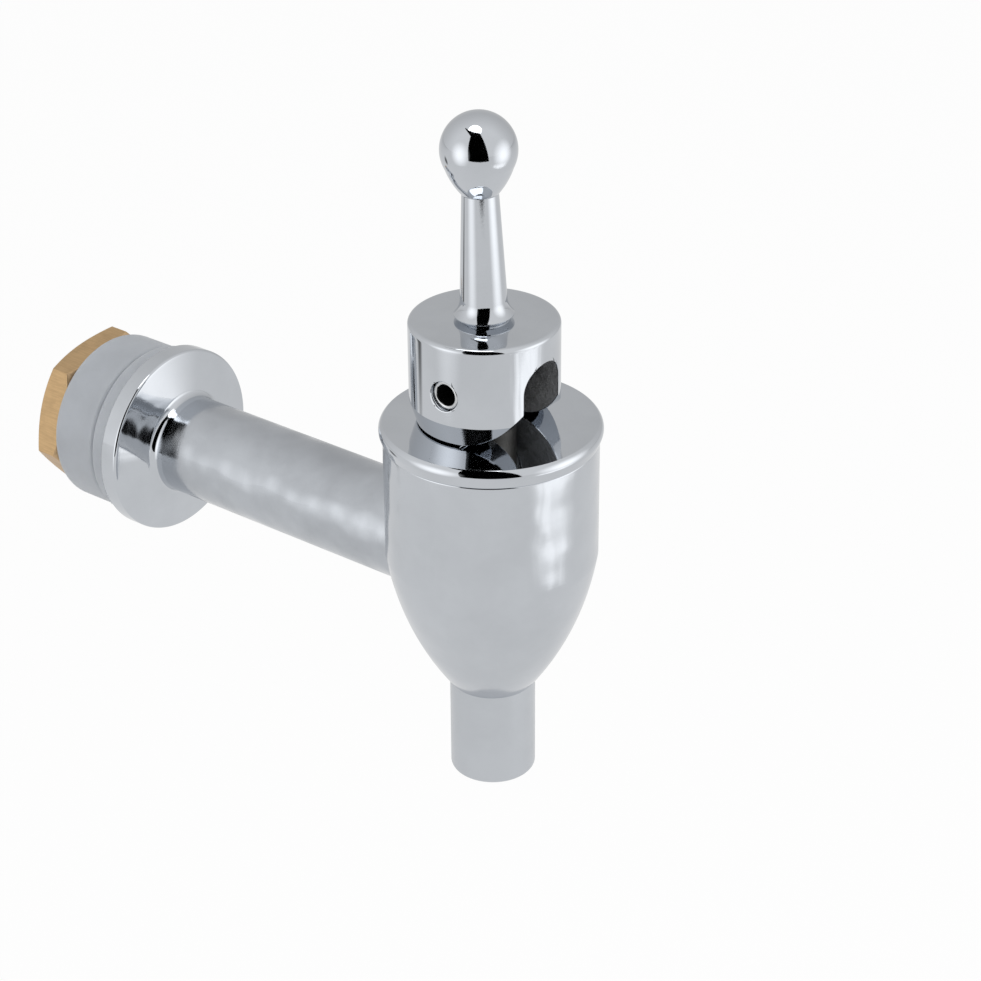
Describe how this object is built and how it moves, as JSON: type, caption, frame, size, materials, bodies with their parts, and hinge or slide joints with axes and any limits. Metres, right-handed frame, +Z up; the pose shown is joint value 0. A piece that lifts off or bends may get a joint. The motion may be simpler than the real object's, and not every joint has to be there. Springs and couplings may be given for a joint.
{
  "type": "barrel tap",
  "caption": "Barrel tap: ball-ended cam lever on a slotted head, tulip body, straight spout, and a flanged arm with threaded tail, soft washers and a hexagon nut.",
  "frame": {"origin": "centre of the flange's sealing face, on the axis of the threaded tail", "axes": "+Z up, +Y along the threaded tail away from the body, -Y toward the user, the pivot pin along X"},
  "size_m": [0.0328, 0.1038, 0.1065],
  "materials": {
    "chrome": "polished chrome plate on brass",
    "brass": "machined, bare",
    "silicone": "translucent grey-white silicone",
    "seal_rubber": "matte",
    "plug_silicone": "matte",
    "steel": "turned",
    "spring_steel": "drawn wire"
  },
  "bodies": {
    "tap_body": {"body_shell": "chrome", "spout_tube": "chrome", "arm_tube": "chrome", "arm_seal": "seal_rubber", "flange_tail": "chrome", "flange_washer": "silicone", "valve_seat": "brass", "bonnet": "chrome", "bonnet_seal": "seal_rubber"},
    "stem": {"valve_stem": "brass", "stem_seal_upper": "seal_rubber", "stem_seal_lower": "seal_rubber", "return_spring": "spring_steel", "plug_cup": "brass", "plug_seal": "plug_silicone", "plug_screw": "steel"},
    "lever": {"cam_head": "chrome", "pivot_pin": "steel", "lever_handle": "chrome"},
    "clamp": {"nut_washer": "silicone"},
    "nut": {"hex_nut": "brass"}
  },
  "joints": [
    {"name": "stem_lift", "type": "slide", "parent": "tap_body", "child": "stem", "axis": [0, 0, 1], "range_m": [0, 0.00157], "stiffness_N_per_m": 1200, "springref_m": -0.004, "deforming": ["return_spring"]},
    {"name": "lever_tilt", "type": "hinge", "parent": "stem", "child": "lever", "pos_m": [0, -0.067, 0.0317], "axis": [1, 0, 0], "range_deg": [0, 60]},
    {"name": "clamp_travel", "type": "slide", "parent": "tap_body", "child": "clamp", "axis": [0, 1, 0], "range_m": [0, 0.003]},
    {"name": "nut_turn", "type": "hinge", "parent": "clamp", "child": "nut", "pos_m": [0, 0.0146, 0], "axis": [0, 1, 0], "range_deg": [0, 720]}
  ],
  "couplings": [
    {"joint": "lever_tilt", "follows": "stem_lift", "rad_per_m": 666.67},
    {"joint": "clamp_travel", "follows": "nut_turn", "m_per_rad": 0.00023873}
  ]
}
